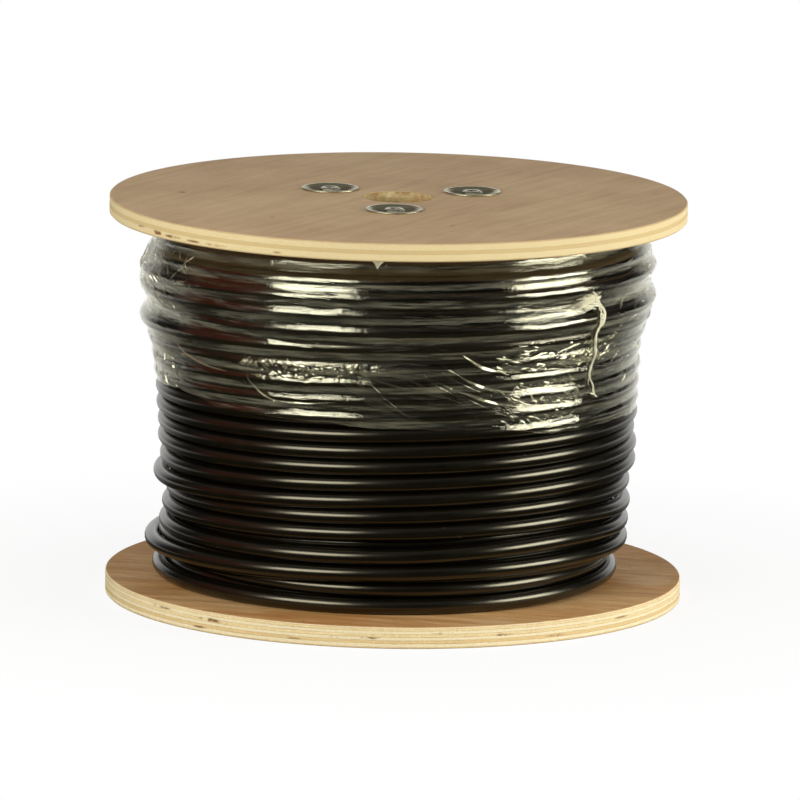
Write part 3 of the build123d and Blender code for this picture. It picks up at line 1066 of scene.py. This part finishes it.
# Film tail: the end of the film, torn off by hand. It is pulled out into pale fibres where it
# leaves the wrap, and the rest of it has rolled up into a thin kinked string.

# Where the tail lies: angle in degrees and height in mm
TAIL = [
    (48.0, 232.1), (49.8, 227.5), (51.6, 222.6), (52.1, 219.0), (51.2, 213.9), (51.1, 209.0),
    (50.5, 202.0), (51.6, 196.5), (51.9, 191.9), (52.2, 187.0), (52.0, 182.5), (50.9, 176.9),
    (51.5, 172.5), (52.4, 168.0), (53.0, 162.5), (54.4, 157.5),
]


def string(points, radii, sides=7):
    """A closed tube along the points, with its own radius at each."""
    made = []
    for k, point in enumerate(points):
        ahead = (points[min(k + 1, len(points) - 1)] - points[max(k - 1, 0)]).normalized()
        side = ahead.cross(Vector((0, 0, 1)))
        side = side.normalized() if side.length > 1e-6 else Vector((1, 0, 0))
        other = ahead.cross(side)
        for s in range(sides):
            a = 2 * pi * s / sides
            made.append(point + float(radii[k]) * MM * (cos(a) * side + sin(a) * other))
    return made, tube_faces(len(points), sides, flip=True)


def build_tail():
    rng = np.random.default_rng(12)
    points, faces = [], []

    def lay(route, lift, radii):
        gather(points, faces, *string([Vector(p) for p in on_film(route, lift)[0]], radii))

    count = 60
    spine = finer(TAIL, count)
    for strand in range(5):
        phase = strand * pi / 2.5
        route, radii = [], []
        for k, (degrees, level) in enumerate(spine):
            share = k / (count - 1)
            loose = 2.2 * max(0.0, 1 - share / 0.45) + 0.12
            swing = share * 26 + phase
            route.append((degrees + 0.55 * loose * sin(swing), level + 1.1 * loose * cos(swing)))
            thick = 0.5 if share < 0.42 else 0.28
            radii.append(thick * (0.8 + 0.4 * rng.random()))
        radii[-1] = 0.2
        lay(route, 1.3 + 0.5 * sin(phase), radii)
    # Fibres fanned out at the tear, and a few loose hairs along the string
    for k in range(70):
        start = (47.0 + 4.2 * rng.random(), 231.5 - 10 * rng.random())
        reach = rng.uniform(2, 8)
        lean = rng.uniform(-0.5, 0.9)
        route = [
            (start[0] - reach * s * (0.55 + 0.3 * lean) + 0.6 * sin(9 * s + k),
             start[1] + 5 * s * (0.4 - lean) + 0.8 * cos(7 * s + k))
            for s in np.linspace(0, 1, 9)
        ]
        lay(route, 0.9 + 1.6 * rng.random(), list(np.linspace(0.3, 0.08, 9)))
    for k in range(14):
        at = spine[int(rng.uniform(4, 50))]
        long = rng.uniform(1.5, 5.0)
        lean = rng.uniform(-1, 1)
        route = [
            (at[0] + long * s * lean * 0.5, at[1] - long * s * (1 - abs(lean)) + sin(5 * s))
            for s in np.linspace(0, 1, 7)
        ]
        lay(route, 1.2, list(np.linspace(0.26, 0.08, 7)))
    lay([(52.0, 161.8), (52.6, 161.0), (53.4, 160.4), (54.0, 159.0)], 1.3, [0.35, 0.5, 0.5, 0.4])
    # A corner of film that hangs out under the top flange, and the fold that it hangs from
    lay([(-12.0, 261.0), (-9.0, 261.6), (-6.0, 261.2)], 0.8, [0.15, 0.5, 0.45])
    corner = [(-6.6, 262.4), (-2.6, 262.0), (-4.0, 258.5), (-4.6, 255.6), (-5.2, 259.0)]
    rim = [Vector(p) for p in on_film(corner, 0.9)[0]]
    gather(points, faces, rim + [p * 1.004 for p in rim], tube_faces(2, len(rim), flip=True))
    return smooth(piece("film_tail", points, faces), 60)


tail = build_tail()
pale_film, shader, where = blank_material("pale_film")
strands = noise(where, 700.0, 3.0, 0.6)
share = spread(strands, 0.3, 0.7)
dress(shader, mix(share, (0.93, 0.90, 0.72, 1.0), (0.70, 0.67, 0.48, 1.0)),
      spread(strands, 0.3, 0.7, 0.3, 0.5), strands, 0.5, 0.2)
tail.data.materials.append(pale_film)
belong(tail)


# Studio: a white floor that runs out into a white backdrop, one broad soft light at the left
# front and one at the right, and the long lens that the drum was seen through.

floor = turned("studio_floor", [(0.0, -4 * MM), (2.6, -4 * MM), (2.6, 0.0), (0.0, 0.0)], 96)
white, shader, where = blank_material("studio_white")
tree = shader.id_data
tree.nodes.remove(shader)
end = next(n for n in tree.nodes if n.bl_idname == "ShaderNodeOutputMaterial")
paths = add(tree, "ShaderNodeLightPath").outputs
glow = add(tree, "ShaderNodeEmission", {"Color": (1.0, 1.0, 1.0, 1.0)}).outputs[0]


def matt(red, green, blue):
    return add(tree, "ShaderNodeBsdfDiffuse", {"Color": (red, green, blue, 1.0)}).outputs[0]


def either(share, first, second):
    return add(tree, "ShaderNodeMixShader", {0: share, 1: first, 2: second}).outputs[0]


def mirrored_ray(paths):
    return sums("ADD", paths["Is Glossy Ray"], paths["Is Transmission Ray"], clamp=True)


# The eye sees a pale floor turn into the glowing backdrop. Surfaces that mirror it see the same
# behind the drum, and a dim room in front of it
far = vectors("LENGTH", where)["Value"]
seen = either(spread(far, 0.22, 0.5, 0.86, 1.0), matt(0.9, 0.9, 0.9), glow)
mirrored = mirrored_ray(paths)
front = either(mirrored, matt(0.6, 0.6, 0.57), matt(0.04, 0.038, 0.026))
behind = spread(split(where)[1], 0.1, 0.7, 0.0, 1.0)
other = either(times(mirrored, behind), front, glow)
tree.links.new(either(paths["Is Camera Ray"], other, seen), end.inputs["Surface"])
floor.data.materials.append(white)

world = bpy.data.worlds.new("studio")
bpy.context.scene.world = world
world.use_nodes = True
tree = world.node_tree
tree.nodes.clear()
paths = add(tree, "ShaderNodeLightPath").outputs
x, y, z = split(add(tree, "ShaderNodeTexCoord").outputs["Generated"])
# The backdrop is white, the ceiling dim, and the room in front of the drum darker still
FILL = 0.36
room = sums("ADD", spread(z, 0.25, 0.95, 0.004, 0.14, smooth=True),
            spread(y, 0.70, 0.93, 0.0, 1.0, smooth=True))
mirrored = mirrored_ray(paths)
level = times(mirrored, sums("SUBTRACT", room, FILL), FILL)
level = sums("MAXIMUM", level, paths["Is Camera Ray"])
# Towards the left the room ends in something dull red
side = mirrored
for along, low, high in ((x, -0.60, -0.85), (y, -0.65, -0.25), (y, 0.55, 0.30)):
    side = times(side, spread(along, low, high, smooth=True))
level = times(side, 0.16, level)
tint = mix(side, (1.0, 1.0, 1.0, 1.0), (1.0, 0.26, 0.16, 1.0))
sky = add(tree, "ShaderNodeBackground", {"Color": tint, "Strength": level})
add(tree, "ShaderNodeOutputWorld", {"Surface": sky.outputs[0]})


def softbox(name, azimuth, elevation, distance, wide, tall, power):
    """An area light aimed at the drum: azimuth 0 is the camera's side, rising to the right."""
    lamp = bpy.data.lights.new(name, "AREA")
    lamp.shape = "RECTANGLE"
    lamp.size, lamp.size_y, lamp.energy = wide, tall, power
    lamp.color = (1.0, 0.975, 0.88)
    made = placed(name, lamp)
    a, e = radians(azimuth), radians(elevation)
    out = Vector((sin(a) * cos(e), -cos(a) * cos(e), sin(e)))
    made.location = Vector((0, 0, 0.14)) + distance * out
    made.rotation_euler = out.to_track_quat("Z", "Y").to_euler()


softbox("softbox_left", -39, 22, 1.6, 0.96, 0.70, 18)
softbox("softbox_right", 72, 12, 1.6, 0.96, 0.68, 23)

# The camera stands 7.6 m off, 10 degrees up, and leans a degree
CAMERA_ELEVATION, CAMERA_LEAN = radians(10.146), radians(0.939)
CAMERA_FAR, LOOK_HEIGHT, SIDESTEP = 7.577, 0.1414, 0.0030
camera_data = bpy.data.cameras.new("camera")
camera_data.sensor_width, camera_data.lens, camera_data.shift_y = 36.0, 491.3, -0.01
camera = placed("camera", camera_data)
camera.matrix_world = (
    Matrix.Translation((SIDESTEP, 0, LOOK_HEIGHT))
    @ Matrix.Rotation(pi / 2 - CAMERA_ELEVATION, 4, "X")
    @ Matrix.Rotation(CAMERA_LEAN, 4, "Z") @ Matrix.Translation((0, 0, CAMERA_FAR))
)
bpy.context.scene.camera = camera
bpy.context.scene.view_settings.view_transform = "Standard"
